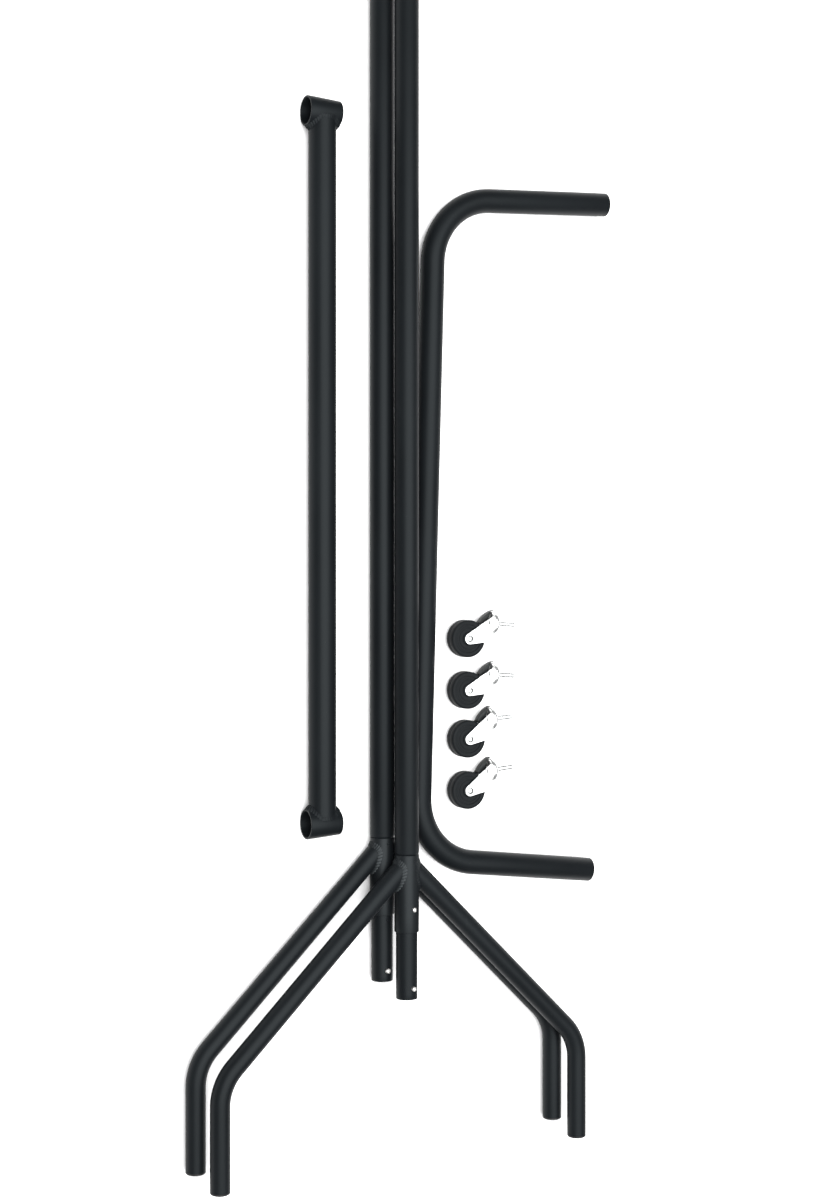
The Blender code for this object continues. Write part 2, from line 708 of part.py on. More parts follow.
def castor_pedal_pin(name, parent):
    radius, head = PEDAL_PIN_DIAMETER / 2, PEDAL_PIN_HEAD_DIAMETER / 2
    top = FORK_SEAT + PEDAL_PIN_HEAD_HEIGHT
    upper = [(0, top), (head * 0.7, top), (head, FORK_SEAT), (radius, FORK_SEAT)]
    lower = [(r, -z) for r, z in reversed(upper)]
    part = turned_part(name, upper + lower, ZINC, sides=10)
    return put(part, (*PEDAL_PIN_PLACE, 0), parent=parent)


def castor(number, place, turn):
    name = f"castor_{number}_"
    head = bpy.data.objects.new(name + "head", None)
    head.empty_display_size = 0.02
    parts.objects.link(head)
    put(head, (*place, CASTOR_AXIS_HEIGHT), (0, 0, turn))
    castor_stem(name + "stem", head)
    castor_raceway(name + "raceway", head)
    castor_fork(name + "fork", head)
    castor_wheel(name + "wheel", head)
    castor_axle(name + "axle_bolt", head)
    castor_nut(name + "axle_nut", head)
    castor_pedal(name + "pedal", head)
    castor_pedal_pin(name + "pedal_pin", head)


# Whole kit


def kit_centre():
    """The middle of the kit's box seen from above, from the lower sleeve's top."""
    foot_radius = LEG_DIAMETER / 2
    left = -LEG_SPREAD - foot_radius
    arm_end = rail_corners()[-1]
    arm_lean = RAIL_SPLAY["upper"] - RAIL_TILT
    rail_right = RAIL_LOWER_CORNER[0] + arm_end.x + abs(sin(arm_lean)) * RAIL_DIAMETER / 2
    right = max(rail_right, FRAME_B_OFFSET[0] + LEG_SPREAD + foot_radius)
    top = UPRIGHT_LENGTH + UPPER_REDUCED_LENGTH + max(0, FRAME_B_OFFSET[1])
    bottom = min(0, FRAME_B_OFFSET[1]) - foot_end() - INSERT_FLANGE - GAP
    return (left + right) / 2, (top + bottom) / 2


clear_scene()
parts = new_collection("support_stand_kit")
cutters = new_collection("support_stand_kit_cutters", in_render=False)
kit = bpy.data.objects.new("kit", None)
parts.objects.link(kit)
centre_x, centre_y = kit_centre()
kit.location = (-centre_x, -centre_y, 0)

leg_frame("a", (0, 0), UPRIGHT_AXIS_HEIGHT)
leg_frame("b", FRAME_B_OFFSET, FRAME_B_HEIGHT)
crossbar()
top_rail()
for castor_number in range(CASTOR_COUNT):
    castor(castor_number + 1, CASTOR_PLACES[castor_number], CASTOR_TURNS[castor_number])
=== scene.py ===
import json
from math import cos, pi, radians, sin, sqrt, tan

import bmesh
import bpy
from mathutils import Matrix, Vector


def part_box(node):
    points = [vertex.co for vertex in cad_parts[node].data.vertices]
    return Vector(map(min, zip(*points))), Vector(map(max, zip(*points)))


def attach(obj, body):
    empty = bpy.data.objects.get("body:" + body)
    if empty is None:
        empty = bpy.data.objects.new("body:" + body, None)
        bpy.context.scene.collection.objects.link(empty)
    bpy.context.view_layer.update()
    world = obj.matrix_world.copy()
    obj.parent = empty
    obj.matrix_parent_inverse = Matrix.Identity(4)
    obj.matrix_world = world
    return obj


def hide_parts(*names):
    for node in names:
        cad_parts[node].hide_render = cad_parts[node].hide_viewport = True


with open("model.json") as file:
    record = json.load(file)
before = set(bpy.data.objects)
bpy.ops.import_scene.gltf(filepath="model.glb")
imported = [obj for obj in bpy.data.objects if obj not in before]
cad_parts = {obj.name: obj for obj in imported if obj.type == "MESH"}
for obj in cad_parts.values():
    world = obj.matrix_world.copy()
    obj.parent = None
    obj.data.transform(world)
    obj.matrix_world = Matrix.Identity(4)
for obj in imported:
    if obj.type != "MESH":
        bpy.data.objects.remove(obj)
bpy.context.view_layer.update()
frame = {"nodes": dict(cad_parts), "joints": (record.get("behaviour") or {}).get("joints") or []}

joints = {joint["name"]: joint for joint in frame["joints"]}
print("frame loaded:", len(frame["nodes"]), "nodes")

tube = {
    "sides": 56,
    "wall": 0.0015,
    "reduced": 0.014,  # radius of the swaged ends
    "rim": 0.0004,
    "rimAngle": 50,  # edges turning more than this many degrees are eased
    "clearance": 0.0003,
    "drillFrom": 0.004,  # a button hole is drilled between these distances from the axis
    "drillTo": 0.03,
    "merge": 0.000002,  # points nearer to each other than this become one
}


# mesh helpers

def lathe(points, steps=56, closed=True):
    # turns a profile of (radius, height) points about Z
    bm = bmesh.new()
    verts = [bm.verts.new((radius, 0, height)) for radius, height in points]
    pairs = list(zip(verts, verts[1:]))
    if closed:
        pairs.append((verts[-1], verts[0]))
    edges = [bm.edges.new(pair) for pair in pairs]
    bmesh.ops.spin(bm, geom=verts + edges, cent=(0, 0, 0), axis=(0, 0, 1), dvec=(0, 0, 0),
                   angle=2 * pi, steps=steps, use_merge=True, use_duplicate=False)
    tidy(bm)
    return bm


def tidy(bm):
    bmesh.ops.remove_doubles(bm, verts=bm.verts, dist=tube["merge"])
    bmesh.ops.recalc_face_normals(bm, faces=bm.faces)


def roundEdges(bm, width, segments=2, angle=30, keep=None):
    sharp = [edge for edge in bm.edges if edge.is_manifold and edge.calc_face_angle(0) > radians(angle)]
    if keep:
        sharp = [edge for edge in sharp if keep(edge)]
    bmesh.ops.bevel(bm, geom=sharp, offset=width, offset_type="OFFSET", segments=segments, profile=0.5,
                    affect="EDGES", clamp_overlap=True, material=-1)
    return bm


def pointsIn(grown):
    return [item for item in grown if isinstance(item, bmesh.types.BMVert)]


def edgesIn(grown):
    return [item for item in grown if isinstance(item, bmesh.types.BMEdge)]


def drawn(bm, loop, matrices):
    # draws the loop of edges on from each matrix to the next, and gives the last loop
    for before, after in zip(matrices, matrices[1:]):
        grown = bmesh.ops.extrude_edge_only(bm, edges=loop)["geom"]
        bmesh.ops.transform(bm, matrix=after @ before.inverted(), verts=pointsIn(grown))
        loop = edgesIn(grown)
    return loop


def sections(path):
    # one matrix for each point of the path, Z along it, turning as little as it can
    frames = []
    side = None
    for i, point in enumerate(path):
        ahead = path[min(i + 1, len(path) - 1)]
        behind = path[max(i - 1, 0)]
        along = (ahead - behind).normalized()
        if side is None:
            side = along.orthogonal().normalized()
        side = (side - along * side.dot(along)).normalized()
        over = along.cross(side)
        turn = Matrix((side, over, along)).transposed().to_4x4()
        frames.append(Matrix.Translation(point) @ turn)
    return frames


def sweep(path, radius, sides):
    # a round section drawn along the path
    bm = bmesh.new()
    frames = sections(path)
    made = bmesh.ops.create_circle(bm, cap_ends=False, segments=sides, radius=radius, matrix=frames[0])
    loop = dict.fromkeys(edge for vert in made["verts"] for edge in vert.link_edges)
    drawn(bm, list(loop), frames)
    tidy(bm)
    return bm


bead = {
    "root": -0.35,  # how deep the weld sits in its corner, as shares of its size
    "toe": -0.2,
    "swell": 0.17,
    "depth": 0.001,
}


def fillet(rows, ripples, lift=0.45, steps=8):
    # a closed weld; each row is its corner, then how far it reaches over either metal
    outline = [(bead["root"], bead["root"]), (1.0, bead["toe"])]
    for i in range(steps + 1):
        turn = pi / 2 * i / steps
        flat = 1 / (cos(turn) + sin(turn))
        size = flat + (1 - flat) * lift
        outline.append((size * cos(turn), size * sin(turn)))
    outline.append((bead["toe"], 1.0))
    matrices = []
    for i, (corner, over, across) in enumerate(rows):
        swell = 1 + bead["swell"] * sin(2 * pi * ripples * i / len(rows))
        third = over.cross(across).normalized() * bead["depth"]
        matrices.append(Matrix((over * swell, across * swell, third)).transposed().to_4x4())
        matrices[-1].translation = corner
    bm = bmesh.new()
    verts = [bm.verts.new((a, b, 0)) for a, b in outline]
    first = [bm.edges.new(pair) for pair in zip(verts, verts[1:] + verts[:1])]
    bmesh.ops.transform(bm, matrix=matrices[0], verts=verts)
    bmesh.ops.bridge_loops(bm, edges=first + drawn(bm, first, matrices))
    tidy(bm)
    return bm


def bend(corners, radius, steps):
    # a flat route with its inner corners rounded
    path = [Vector(corners[0])]
    for before, corner, after in zip(corners, corners[1:], corners[2:]):
        corner = Vector(corner)
        arriving = (corner - Vector(before)).normalized()
        leaving = (Vector(after) - corner).normalized()
        turn = arriving.angle(leaving)
        toMiddle = (leaving - arriving).normalized()
        middle = corner + toMiddle * radius / cos(turn / 2)
        start = corner - arriving * radius * tan(turn / 2)
        arm = start - middle
        axis = arriving.cross(leaving).normalized()
        path += [middle + Matrix.Rotation(turn * i / steps, 3, axis) @ arm for i in range(steps + 1)]
    return path + [Vector(corners[-1])]


def plate(outline, thickness):
    # a flat outline in X and Y, half the thickness to each side of Z = 0
    bm = bmesh.new()
    face = bm.faces.new([bm.verts.new((x, y, -thickness / 2)) for x, y in outline])
    grown = bmesh.ops.extrude_face_region(bm, geom=[face])["geom"]
    bmesh.ops.translate(bm, vec=(0, 0, thickness), verts=pointsIn(grown))
    tidy(bm)
    return bm


def arc(centre, radius, start, end, steps):
    angles = [radians(start + (end - start) * i / steps) for i in range(steps + 1)]
    return [(centre[0] + radius * cos(a), centre[1] + radius * sin(a)) for a in angles]


def moved(bm, matrix):
    bmesh.ops.transform(bm, matrix=matrix, verts=bm.verts)
    return bm


def looseObject(name, bm):
    mesh = bpy.data.meshes.new(name)
    bm.to_mesh(mesh)
    bm.free()
    made = bpy.data.objects.new(name, mesh)
    bpy.context.scene.collection.objects.link(made)
    return made


def settle(obj):
    # what the modifiers make becomes the mesh
    bpy.context.view_layer.update()
    graph = bpy.context.evaluated_depsgraph_get()
    mesh = bpy.data.meshes.new_from_object(obj.evaluated_get(graph))
    obj.modifiers.clear()
    obj.data = mesh


def combine(obj, others, operation="DIFFERENCE"):
    for other in others:
        tool = looseObject("tool", other)
        modifier = obj.modifiers.new("cut", "BOOLEAN")
        modifier.operation = operation
        modifier.solver = "EXACT"
        modifier.object = tool
        settle(obj)
        bpy.data.objects.remove(tool, do_unlink=True)
    return obj


def softenRims(obj, width, segments=2, angle=50):
    rims = obj.modifiers.new("rims", "BEVEL")
    rims.width = width
    rims.segments = segments
    rims.limit_method = "ANGLE"
    rims.angle_limit = radians(angle)
    settle(obj)


def giveWall(obj, thickness=tube["wall"], evenly=False):
    # a skin gets its wall inwards
    wall = obj.modifiers.new("wall", "SOLIDIFY")
    wall.thickness = thickness
    wall.offset = -1
    wall.use_even_offset = evenly
    settle(obj)
    return obj


def drill(radius, low, high, matrix, sides=32):
    bm = bmesh.new()
    bmesh.ops.create_cone(bm, cap_ends=True, segments=sides, radius1=radius, radius2=radius, depth=high - low)
    bmesh.ops.translate(bm, verts=bm.verts, vec=(0, 0, (low + high) / 2))
    return moved(bm, matrix)


def finished(obj, name, finish, body, nodes=(), smooth=32):
    # names the piece, gives it its finish and hangs it on its body
    obj.name = name
    obj.data.name = name
    obj.data.shade_smooth()
    obj.data.set_sharp_from_angle(angle=radians(smooth))
    obj.data.materials.clear()
    obj.data.materials.append(finish)
    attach(obj, body)
    if nodes:
        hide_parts(*nodes)
    return obj


def piece(name, bm, finish, body, nodes=(), smooth=32):
    return finished(looseObject(name, bm), name, finish, body, nodes, smooth)


# finishes

class Wire:
    # a socket that can be added to, multiplied and so on
    def __init__(self, finish, socket):
        self.finish = finish
        self.socket = socket

    def maths(self, operation, first, second):
        return self.finish.node("ShaderNodeMath", {"operation": operation}, {0: first, 1: second})

    def __add__(self, other):
        return self.maths("ADD", self, other)

    def __sub__(self, other):
        return self.maths("SUBTRACT", self, other)

    def __rsub__(self, other):
        return self.maths("SUBTRACT", other, self)

    def __mul__(self, other):
        return self.maths("MULTIPLY", self, other)

    __radd__ = __add__
    __rmul__ = __mul__


class Finish:
    def __init__(self, name, colour, roughness, metallic=0.0, specular=0.5):
        self.material = bpy.data.materials.new(name)
        self.material.use_nodes = True
        self.material.diffuse_color = (*colour, 1)
        self.tree = self.material.node_tree
        self.shader = self.tree.nodes["Principled BSDF"]
        self.set("Base Color", (*colour, 1))
        self.set("Roughness", roughness)
        self.set("Metallic", metallic)
        self.set("Specular IOR Level", specular)
        self.place = self.node("ShaderNodeTexCoord", output="Object")

    def node(self, kind, settings=None, values=None, output=0):
        made = self.tree.nodes.new(kind)
        for name, value in (settings or {}).items():
            if name == "stops":
                for stop, (position, level) in zip(made.color_ramp.elements, value):
                    stop.position = position
                    stop.color = (level, level, level, 1)
            else:
                setattr(made, name, value)
        for name, value in (values or {}).items():
            self.feed(made.inputs[name], value)
        return Wire(self, made.outputs[output])

    def feed(self, socket, value):
        if isinstance(value, Wire):
            self.tree.links.new(value.socket, socket)
        else:
            socket.default_value = value

    def set(self, name, value):
        self.feed(self.shader.inputs[name], value)

    def noise(self, scale, detail=2.0, rough=0.5, stretch=(1, 1, 1)):
        place = self.node("ShaderNodeMapping", None, {"Vector": self.place, "Scale": stretch})
        return self.node("ShaderNodeTexNoise", None,
                         {"Vector": place, "Scale": scale, "Detail": detail, "Roughness": rough})

    def between(self, wire, low, high):
        # 0 below low, 1 above high
        return self.node("ShaderNodeValToRGB", {"stops": ((low, 0), (high, 1))}, {"Fac": wire})

    def tint(self, mask, plain, changed):
        plain = plain if isinstance(plain, Wire) else (*plain, 1)
        changed = changed if isinstance(changed, Wire) else (*changed, 1)
        return self.node("ShaderNodeMix", {"data_type": "RGBA"}, {0: mask, 6: plain, 7: changed}, output=2)

    def bump(self, height, distance, strength=1.0):
        self.set("Normal", self.node("ShaderNodeBump", None,
                                     {"Height": height, "Distance": distance, "Strength": strength}))


powder = {
    "colour": (0.0034, 0.0042, 0.0050),
    "faded": (0.0050, 0.0061, 0.0071),
    "rubbed": (0.018, 0.021, 0.022),
    "shine": 0.095,
    "sleeveShine": 0.145,
    "tint": (0.88, 0.97, 1.0, 1),
    "roughness": 0.46,
    "weldShine": 0.22,
    "weldRoughness": 0.40,
    "peelPerMetre": 620,
    "peelDepth": 0.00010,
    "cloudPerMetre": 7,
    "dragPerMetre": 90,
    "dragStretch": (1, 0.05, 1),
    "speckPerMetre": 420,
    "dust": (0.040, 0.040, 0.038),
    "rubbedShare": 0.35,
    "dustShare": 0.30,
    "patchy": 0.10,  # how far each pattern changes the roughness
    "peelStrength": 0.55,
}


def powderCoat(name, shine, roughness=powder["roughness"]):
    finish = Finish(name, powder["colour"], roughness, specular=shine)
    finish.set("Specular Tint", powder["tint"])
    patchy = powder["patchy"]
    peel = finish.noise(powder["peelPerMetre"], 1.5)
    grain = finish.noise(powder["peelPerMetre"] * 5, 2.0)
    cloud = finish.noise(powder["cloudPerMetre"], 3.0)
    drag = finish.noise(powder["dragPerMetre"], 4.0, 0.6, powder["dragStretch"])  # long light rubs from handling
    speck = finish.noise(powder["speckPerMetre"], 2.0, 0.5)
    rubbed = finish.between(drag, 0.66, 0.78) * finish.between(cloud, 0.45, 0.62)
    dust = finish.between(speck, 0.74, 0.80)
    colour = finish.tint(finish.between(cloud, 0.30, 0.72), powder["colour"], powder["faded"])
    colour = finish.tint(rubbed * powder["rubbedShare"], colour, powder["rubbed"])
    colour = finish.tint(dust * powder["dustShare"], colour, powder["dust"])
    finish.set("Base Color", colour)
    finish.set("Roughness", cloud * patchy + grain * patchy + rubbed * patchy + (roughness - patchy))
    finish.bump(peel + grain * 0.25, powder["peelDepth"], powder["peelStrength"])
    return finish.material


plated = {
    "zinc": {"colour": (0.90, 0.91, 0.90), "dull": (0.82, 0.83, 0.82), "roughness": 0.36},
    "head": {"colour": (0.80, 0.81, 0.81), "dull": (0.71, 0.72, 0.72), "roughness": 0.27},
    "bolt": {"colour": (0.46, 0.47, 0.47), "dull": (0.36, 0.37, 0.37), "roughness": 0.24},
    "nickel": {"colour": (0.92, 0.91, 0.89), "dull": (0.84, 0.83, 0.81), "roughness": 0.38},
    "cloudPerMetre": 60,
    "rolledPerMetre": 1500,
    "rolledStretch": (1, 0.06, 1),
    "crystalsPerMetre": 900,
    "depth": 0.00001,
}


def zinc(name, kind):
    values = plated[kind]
    finish = Finish(name, values["colour"], values["roughness"], 1.0)
    cloud = finish.noise(plated["cloudPerMetre"], 3.0)
    rolled = finish.noise(plated["rolledPerMetre"], 2.0, 0.5, plated["rolledStretch"])
    crystal = finish.node("ShaderNodeTexVoronoi", {"feature": "F1"},
                          {"Vector": finish.place, "Scale": plated["crystalsPerMetre"]})
    finish.set("Base Color", finish.tint(finish.between(cloud, 0.35, 0.70), values["colour"], values["dull"]))
    finish.set("Roughness", cloud * 0.10 + rolled * 0.04 + crystal * 0.04 + (values["roughness"] - 0.09))
    finish.bump(rolled * 0.5 + cloud * 0.5, plated["depth"], 0.5)
    return finish.material


mouldings = {
    "plastic": {"colour": (0.0105, 0.0110, 0.0115), "light": (0.020, 0.021, 0.022), "roughness": 0.52,
                "grainPerMetre": 1800, "depth": 0.00004, "shine": 0.16},
    "pedal": {"colour": (0.0075, 0.0088, 0.0092), "light": (0.0150, 0.0170, 0.0175), "roughness": 0.48,
              "grainPerMetre": 1500, "depth": 0.00005, "shine": 0.16},
    "wheel": {"colour": (0.0046, 0.0056, 0.0064), "light": (0.0105, 0.0122, 0.0132), "roughness": 0.58,
              "grainPerMetre": 1200, "depth": 0.00006, "shine": 0.07},
    "cloudPerMetre": 40,
    "smearPerMetre": 160,
}


def moulded(name, kind):
    values = mouldings[kind]
    finish = Finish(name, values["colour"], values["roughness"], specular=values["shine"])
    cloud = finish.noise(mouldings["cloudPerMetre"], 3.0)
    grain = finish.noise(values["grainPerMetre"], 2.0)
    smear = finish.between(finish.noise(mouldings["smearPerMetre"], 4.0, 0.65), 0.55, 0.75)
    finish.set("Base Color", finish.tint(cloud * 0.6 + smear * 0.4, values["colour"], values["light"]))
    finish.set("Roughness", grain * 0.12 + cloud * 0.08 + smear * 0.06 + (values["roughness"] - 0.12))
    finish.bump(grain, values["depth"], 0.6)
    return finish.material


finishes = {
    "powder": powderCoat("powderBlack", powder["shine"]),
    "sleeve": powderCoat("powderSleeve", powder["sleeveShine"]),
    "weld": powderCoat("powderWeld", powder["weldShine"], powder["weldRoughness"]),
    "zinc": zinc("zincPlate", "zinc"),
    "head": zinc("zincBright", "head"),
    "bolt": zinc("boltPlate", "bolt"),
    "nickel": zinc("nickelPlate", "nickel"),
    "plastic": moulded("footPlastic", "plastic"),
    "pedal": moulded("pedalPlastic", "pedal"),
    "wheel": moulded("wheelRubber", "wheel"),
}
print("finishes ready:", len(finishes))


# uprights, sleeves and legs

def axisOf(node):
    # middle of the node across, and its ends along Y
    low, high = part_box(node)
    return Vector(((low.x + high.x) / 2, 0, (low.z + high.z) / 2)), low.y, high.y


def along(x, y, z):
    # Z of a turned piece laid along +Y from this point
    return Matrix.Translation((x, y, z)) @ Matrix.Rotation(radians(-90), 4, "X")


def pressDirection(side, label="end"):
    return -Vector(joints[f"press_{label}_{side}"]["axis"])


def buttonCentre(side, label):
    # where a snap button's axis crosses the tube's axis
    low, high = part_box(f"snap_button_{label}_{side}")
    middle = axisOf("upright_" + side)[0]
    return Vector((middle.x, (low.y + high.y) / 2, middle.z))


def outwards(point, direction):
    return Matrix.Translation(point) @ direction.to_track_quat("Z", "Y").to_matrix().to_4x4()


upright = {
    "radius": 0.016,
    "length": 1.215,
    "lowerEnd": 0.187,
    "upperEnd": 0.060,
    "swage": 0.0022,  # length of the slope at each shoulder
    "shoulder": 0.0008,
    "land": 0.007,  # straight stretch to each side of a button
    "hole": 0.0035,
    "dimple": 0.0017,
    "dimpleBelowSleeve": 0.007,
    "dimpleOut": 0.45,  # how far the dimple's centre stands out, as a share of its radius
}


def dimpleTool(spot, radius):
    bm = bmesh.new()
    bmesh.ops.create_uvsphere(bm, u_segments=20, v_segments=12, radius=radius)
    bmesh.ops.translate(bm, verts=bm.verts, vec=spot)
    return bm


def buttonHole(side, label):
    aim = outwards(buttonCentre(side, label), pressDirection(side))
    return drill(upright["hole"], tube["drillFrom"], tube["drillTo"], aim)


def uprightTube(side):
    middle, low, high = axisOf("upright_" + side)
    outer, reduced, bore = upright["radius"], tube["reduced"], tube["reduced"] - tube["wall"]
    top, bottom, length = upright["length"] + upright["upperEnd"], -upright["lowerEnd"], upright["length"]
    zero, gap, crest = low + upright["lowerEnd"], tube["clearance"], outer - upright["shoulder"]
    labels = ("top", "sleeve", "end")
    rings = []
    for label in labels:
        height = buttonCentre(side, label).y - zero
        rings += [(reduced, height + upright["land"]), (reduced, height - upright["land"])]
    profile = [(reduced, top), rings[0], rings[1], (reduced, length + gap), (crest, length),
               (outer, length - upright["swage"]), (outer, upright["swage"] + gap), (crest, gap), (reduced, gap),
               *rings[2:], (reduced, bottom), (bore, bottom), (bore, top)]
    bm = roundEdges(lathe(profile, tube["sides"]), tube["rim"], 2, tube["rimAngle"])
    obj = looseObject("upright", moved(bm, along(middle.x, zero, middle.z)))
    spot = Vector((middle.x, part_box("leg_sleeve_" + side)[0].y - upright["dimpleBelowSleeve"], middle.z))
    spot += pressDirection(side) * (reduced + upright["dimple"] * upright["dimpleOut"])
    combine(obj, [buttonHole(side, label) for label in labels] + [dimpleTool(spot, upright["dimple"])])
    return finished(obj, "tube_upright_" + side, finishes["powder"], "frame_" + side,
                    ["upright_" + side])


button = {
    "radius": 0.0031,
    "head": 0.005,
    "headThickness": 0.0015,
    "dome": 0.75,  # height of the round end, as a share of the radius
    "domeSteps": 7,
    "lean": 0.5,
    "sides": 32,
}


def snapButton(side, label):
    node = f"snap_button_{label}_{side}"
    low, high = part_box(node)
    centre = buttonCentre(side, label)
    direction = pressDirection(side, label)
    radius, head = button["radius"], button["head"]
    reach = (high.z - centre.z - radius * abs(direction.x) * button["lean"]) / direction.z
    bore = tube["reduced"] - tube["wall"]
    headTop = sqrt(bore ** 2 - head ** 2) - tube["clearance"]
    headLow = headTop - button["headThickness"]
    dome = [(radius * sin(radians(a)), reach - radius * button["dome"] * (1 - cos(radians(a))))
            for a in range(0, 91, 90 // button["domeSteps"])]
    profile = [(0, reach), *dome[1:], (radius, headTop), (head, headTop), (head, headLow), (0, headLow)]
    bm = lathe(profile, button["sides"], closed=False)
    return piece(f"button_{label}_{side}", moved(bm, outwards(centre, direction)), finishes["nickel"], node,
                 [node])


sleeve = {
    "radius": 0.016,
    "bore": 0.0145,
    "edge": 0.0005,
    "land": 0.008,
    "dimple": 0.0018,
    "dimpleBelowTop": 0.007,
    "dimpleOut": 0.35,
}


def legSleeve(side):
    node = "leg_sleeve_" + side
    middle, low, high = axisOf(node)
    holeAt = buttonCentre(side, "sleeve").y - high
    outer, bore, length = sleeve["radius"], sleeve["bore"], high - low
    profile = [(outer, 0), (outer, holeAt + sleeve["land"]), (outer, holeAt - sleeve["land"]), (outer, -length),
               (bore, -length), (bore, 0)]
    bm = roundEdges(lathe(profile, tube["sides"]), sleeve["edge"], 3, tube["rimAngle"])
    obj = looseObject("sleeve", moved(bm, along(middle.x, high, middle.z)))
    spot = Vector((middle.x, high - sleeve["dimpleBelowTop"], middle.z))
    spot += pressDirection(side) * (outer + sleeve["dimple"] * sleeve["dimpleOut"])
    combine(obj, [buttonHole(side, "sleeve"), dimpleTool(spot, sleeve["dimple"])])
    return finished(obj, "sleeve_" + side, finishes["sleeve"], "frame_" + side, [node])


legs = {
    "radius": 0.0127,
    "joinBelowTop": 0.010,
    "angle": 45,
    "bendRadius": 0.065,
    "bendSteps": 14,
    "cope": 0.0006,  # how far a leg's end reaches into the sleeve's wall
    "copeReach": 0.1,
    "copeSides": 64,
    "weld": 0.0036,
    "weldSteps": 170,
    "ripples": 34,
}


def legRoute(side, hand):
    sleeveMiddle, low, high = axisOf("leg_sleeve_" + side)
    footMiddle, footLow, footHigh = axisOf(f"foot_insert_{hand}_{side}")
    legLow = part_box(f"leg_{hand}_{side}")[0].y
    start = Vector((sleeveMiddle.x, high - legs["joinBelowTop"], sleeveMiddle.z))
    drop = abs(footMiddle.x - start.x) * tan(radians(legs["angle"]))
    corner = Vector((footMiddle.x, start.y - drop, start.z))
    return start, corner, Vector((footMiddle.x, legLow, start.z))


def leg(side, hand):
    route = legRoute(side, hand)
    path = bend(route, legs["bendRadius"], legs["bendSteps"])
    obj = giveWall(looseObject("leg", sweep(path, legs["radius"], tube["sides"])))
    reach = legs["copeReach"]
    combine(obj, [drill(sleeve["radius"] - legs["cope"], -reach, reach, along(*route[0]), legs["copeSides"])])
    return finished(obj, f"tube_leg_{hand}_{side}", finishes["powder"], "frame_" + side,
                    [f"leg_{hand}_{side}"])


def legWeld(side, hand):
    # the weld runs where the round leg meets the round sleeve
    start, corner, _ = legRoute(side, hand)
    down = (corner - start).normalized()
    across = down.cross(Vector((0, 0, 1)))
    towards = 1 if down.x > 0 else -1
    rows = []
    for i in range(legs["weldSteps"]):
        turn = 2 * pi * i / legs["weldSteps"]
        outward = across * cos(turn) + Vector((0, 0, sin(turn)))
        offset = outward * legs["radius"]
        reach = sqrt(sleeve["radius"] ** 2 - offset.z ** 2)
        slide = (reach - offset.x * towards) / abs(down.x)
        normal = Vector((reach * towards, 0, offset.z)).normalized()
        onSleeve = (outward - normal * outward.dot(normal)).normalized()
        rows.append((start + offset + down * slide, down * legs["weld"], onSleeve * legs["weld"]))
    return piece(f"weld_leg_{hand}_{side}", fillet(rows, legs["ripples"]), finishes["weld"], "frame_" + side)


foot = {
    "flange": 0.0127,
    "flangeTop": 0.88,  # the flange narrows to this share of its radius
    "flangeEdge": 0.55,
    "body": 0.0109,
    "bore": 0.0042,
    "lead": 0.0008,  # the slope into the bore
    "depth": 0.022,
    "lip": 0.003,
    "threads": 7,
    "threadDepth": 0.0006,
    "edge": 0.0005,
    "edgeAngle": 28,
    "sides": 40,
}


def footInsert(side, hand):
    node = f"foot_insert_{hand}_{side}"
    middle, low, high = axisOf(node)
    flange, bore, lip, lead = foot["flange"], foot["bore"], foot["lip"], foot["lead"]
    pitch = foot["depth"] / (2 * foot["threads"] + 1)
    threads = [(bore + (foot["threadDepth"] if i % 2 else 0), i * pitch) for i in range(2 * foot["threads"] + 2)]
    profile = [(foot["body"], foot["depth"]), (foot["body"], 0), (flange, 0), (flange, -lip * foot["flangeEdge"]),
               (flange * foot["flangeTop"], -lip), (bore + lead, -lip), (bore, -lip + lead), *threads]
    bm = lathe(profile, foot["sides"])
    # the threads stay sharp
    roundEdges(bm, foot["edge"], 3, foot["edgeAngle"],
               keep=lambda edge: min(v.co.xy.length for v in edge.verts) > bore * 1.6)
    moved(bm, along(middle.x, low + lip, middle.z))
    return piece(f"foot_{hand}_{side}", bm, finishes["plastic"], "frame_" + side, [node])


for side in "ab":
    uprightTube(side)
    legSleeve(side)
    for hand in ("left", "right"):
        leg(side, hand)
        legWeld(side, hand)
        footInsert(side, hand)
    for label in ("sleeve", "end", "top"):
        snapButton(side, label)
print("leg frames and uprights ready")


# crossbar

crossbar = {
    "radius": 0.018,
    "inset": 0.008,
    "wide": 0.0195,
    "narrow": 0.01625,
    "wideBore": 0.0170,
    "narrowBore": 0.0146,
    "innerTaper": 0.7,  # where the bore's slope ends, as a share of half the collar
    "edge": 0.0007,
    "sides": 64,
    "cope": 0.0006,
    "weld": 0.0049,
    "weldThins": 0.55,  # over the top and under, where the two are as wide as each other
    "weldSteps": 200,
    "weldLift": 0.25,
    "ripples": 40,
}


def collarRadius(x, half):
    share = (x + half) / (2 * half)
    return crossbar["wide"] + (crossbar["narrow"] - crossbar["wide"]) * share


def collarFrame(hand):
    low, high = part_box("crossbar_collar_" + hand)
    middle = (low + high) / 2
    return middle, (high.x - low.x) / 2


def crossbarCollar(hand):
    middle, half = collarFrame(hand)
    profile = [(crossbar["narrow"], half), (crossbar["wide"], -half), (crossbar["wideBore"], -half),
               (crossbar["narrowBore"], half * crossbar["innerTaper"]), (crossbar["narrowBore"], half)]
    bm = roundEdges(lathe(profile, crossbar["sides"]), crossbar["edge"], 3, tube["rimAngle"])
    moved(bm, Matrix.Translation(middle) @ Matrix.Rotation(radians(90), 4, "Y"))
    return piece("collar_" + hand, bm, finishes["powder"], "crossbar",
                 ["crossbar_collar_" + hand])


